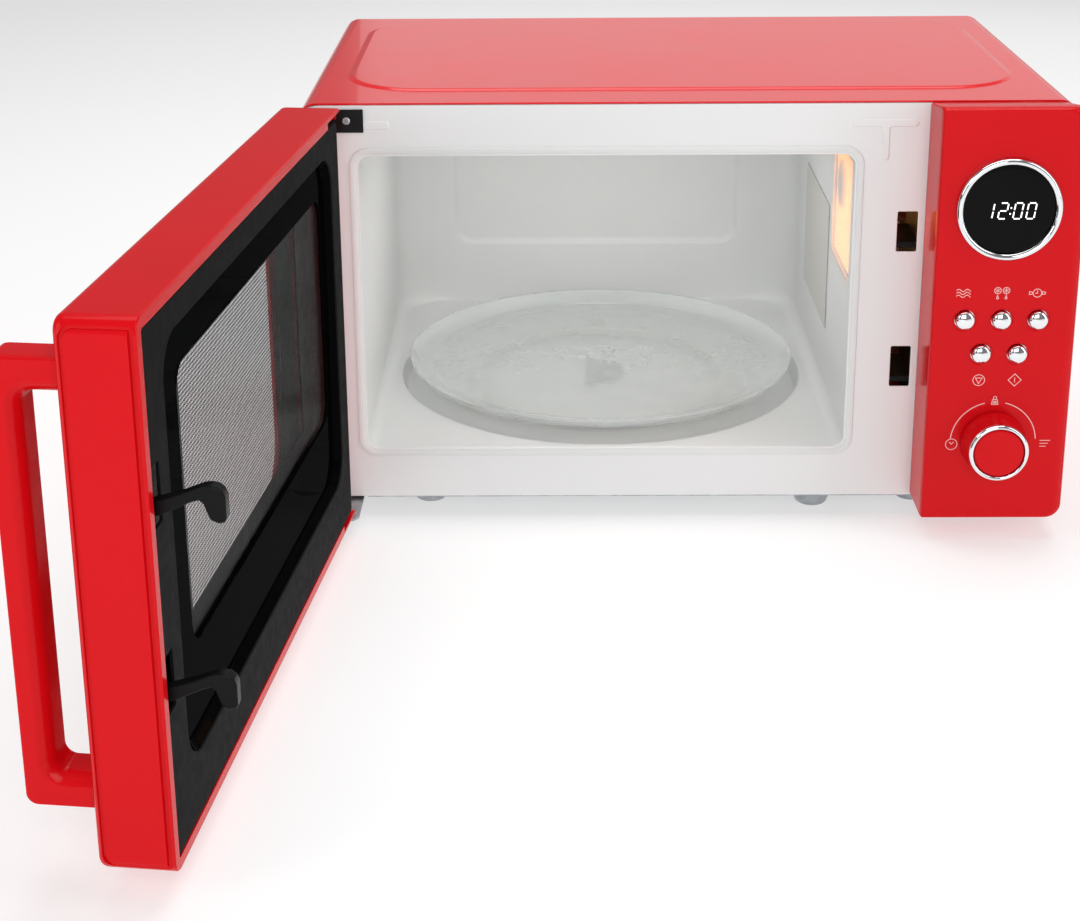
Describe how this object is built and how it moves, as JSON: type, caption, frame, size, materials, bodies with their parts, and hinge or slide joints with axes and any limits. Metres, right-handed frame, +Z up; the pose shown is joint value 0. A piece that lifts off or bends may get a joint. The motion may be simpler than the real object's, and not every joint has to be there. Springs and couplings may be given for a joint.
{
  "type": "microwave oven",
  "caption": "Compact countertop microwave oven with a left-hinged window door standing open, a bowed handle, a turntable, and a display, push buttons and a dial on the right.",
  "frame": {"origin": "middle of the base plate's underside in X, on the front frame's plane in Y and on the base plate's underside in Z; the feet reach 12 mm lower", "axes": "+X to the control panel's side, +Y from the door to the back, +Z up"},
  "size_m": [0.5178, 0.6542, 0.2585],
  "materials": {
    "red_paint": "gloss",
    "red_plastic": "gloss",
    "galvanised": "satin",
    "enamel": "satin",
    "cavity_paint": "satin",
    "chrome": "mirror",
    "black_plastic": "satin",
    "gloss_black": "gloss",
    "clear_glass": "clear",
    "mica": "matt",
    "steel": "satin",
    "copper_winding": "enamelled",
    "aluminium": "satin",
    "circuit_board": "satin",
    "white_plastic": "satin",
    "grey_plastic": "satin",
    "rubber": "matt",
    "black_metal": "satin"
  },
  "bodies": {
    "cabinet": {"outer_case": "red_paint", "back_panel": "galvanised", "base_plate": "galvanised", "front_frame": "enamel", "cavity_left_wall": "cavity_paint", "cavity_right_wall": "cavity_paint", "cavity_roof": "cavity_paint", "cavity_floor": "cavity_paint", "cavity_rear_wall": "cavity_paint", "waveguide_cover": "mica", "waveguide": "steel", "magnetron": "aluminium", "transformer_core": "steel", "transformer_winding": "copper_winding", "hv_capacitor": "aluminium", "filter_board": "circuit_board", "fan_shroud": "white_plastic", "fan_motor": "steel", "cavity_lamp": "white_plastic", "turntable_motor": "steel", "latch_bracket": "black_plastic", "door_switch_upper": "black_plastic", "door_switch_middle": "black_plastic", "door_switch_lower": "black_plastic", "cord_inlet": "rubber", "hinge_upper_bracket": "black_metal", "hinge_lower_bracket": "galvanised", "control_panel": "red_plastic", "display_bezel": "chrome", "display_lens": "gloss_black", "display_module": "circuit_board", "control_board": "circuit_board", "dial_encoder": "black_plastic"},
    "door": {"door_shell": "red_plastic", "door_front_glass": "clear_glass", "door_screen": "steel", "door_inner_cover": "black_plastic", "door_inner_window": "clear_glass", "door_handle": "red_plastic", "handle_screw_1": "steel", "handle_screw_2": "steel", "hinge_upper_pin": "steel", "hinge_lower_pin": "steel", "latch_spring": "steel"},
    "latch": {"latch_hooks": "black_plastic"},
    "coupler": {"drive_coupler": "grey_plastic"},
    "tray": {"glass_tray": "clear_glass"},
    "roller_ring": {"roller_ring": "white_plastic"},
    "dial": {"dial_knob": "chrome", "dial_cap": "red_plastic"},
    "fan": {"fan_blade": "white_plastic"},
    "roller_1": {"roller_wheel_1": "white_plastic"},
    "roller_2": {"roller_wheel_2": "white_plastic"},
    "roller_3": {"roller_wheel_3": "white_plastic"},
    "button_power": {"button_power": "chrome"},
    "button_defrost": {"button_defrost": "chrome"},
    "button_timer": {"button_timer": "chrome"},
    "button_stop": {"button_stop": "chrome"},
    "button_start": {"button_start": "chrome"}
  },
  "joints": [
    {"name": "door_hinge", "type": "hinge", "parent": "cabinet", "child": "door", "pos_m": [-0.217, -0.0255, 0.12], "axis": [0, 0, 1], "range_deg": [-9, 96.3]},
    {"name": "latch_lift", "type": "slide", "parent": "door", "child": "latch", "axis": [0, 0, 1], "range_m": [0, 0.005], "stiffness_N_per_m": 200, "springref_m": -0.003, "deforming": ["latch_spring"]},
    {"name": "turntable_spin", "type": "hinge", "parent": "cabinet", "child": "coupler", "pos_m": [-0.0455, 0.1365, 0.03], "axis": [0, 0, 1], "continuous": true},
    {"name": "tray_lift", "type": "slide", "parent": "coupler", "child": "tray", "axis": [0, 0, 1], "range_m": [0, 0.03]},
    {"name": "roller_ring_spin", "type": "hinge", "parent": "cabinet", "child": "roller_ring", "pos_m": [-0.0455, 0.1365, 0.029], "axis": [0, 0, 1], "continuous": true},
    {"name": "roller_1_spin", "type": "hinge", "parent": "roller_ring", "child": "roller_1", "pos_m": [-0.0455, 0.23, 0.029], "axis": [0, 1, 0], "continuous": true},
    {"name": "roller_2_spin", "type": "hinge", "parent": "roller_ring", "child": "roller_2", "pos_m": [-0.12647, 0.08975, 0.029], "axis": [-0.866, -0.5, 0], "continuous": true},
    {"name": "roller_3_spin", "type": "hinge", "parent": "roller_ring", "child": "roller_3", "pos_m": [0.03547, 0.08975, 0.029], "axis": [0.866, -0.5, 0], "continuous": true},
    {"name": "dial_turn", "type": "hinge", "parent": "cabinet", "child": "dial", "pos_m": [0.176, -0.04, 0.0506], "axis": [0, -1, 0], "continuous": true},
    {"name": "fan_spin", "type": "hinge", "parent": "cabinet", "child": "fan", "pos_m": [0.16, 0.23, 0.16], "axis": [0, 1, 0], "continuous": true},
    {"name": "button_power_press", "type": "slide", "parent": "cabinet", "child": "button_power", "axis": [0, 1, 0], "range_m": [0, 0.0015], "stiffness_N_per_m": 300, "springref_m": -0.001},
    {"name": "button_defrost_press", "type": "slide", "parent": "cabinet", "child": "button_defrost", "axis": [0, 1, 0], "range_m": [0, 0.0015], "stiffness_N_per_m": 300, "springref_m": -0.001},
    {"name": "button_timer_press", "type": "slide", "parent": "cabinet", "child": "button_timer", "axis": [0, 1, 0], "range_m": [0, 0.0015], "stiffness_N_per_m": 300, "springref_m": -0.001},
    {"name": "button_stop_press", "type": "slide", "parent": "cabinet", "child": "button_stop", "axis": [0, 1, 0], "range_m": [0, 0.0015], "stiffness_N_per_m": 300, "springref_m": -0.001},
    {"name": "button_start_press", "type": "slide", "parent": "cabinet", "child": "button_start", "axis": [0, 1, 0], "range_m": [0, 0.0015], "stiffness_N_per_m": 300, "springref_m": -0.001}
  ],
  "couplings": [
    {"joint": "roller_ring_spin", "follows": "turntable_spin", "ratio": 0.5},
    {"joint": "roller_1_spin", "follows": "turntable_spin", "ratio": -8.2018},
    {"joint": "roller_2_spin", "follows": "turntable_spin", "ratio": -8.2018},
    {"joint": "roller_3_spin", "follows": "turntable_spin", "ratio": -8.2018}
  ]
}
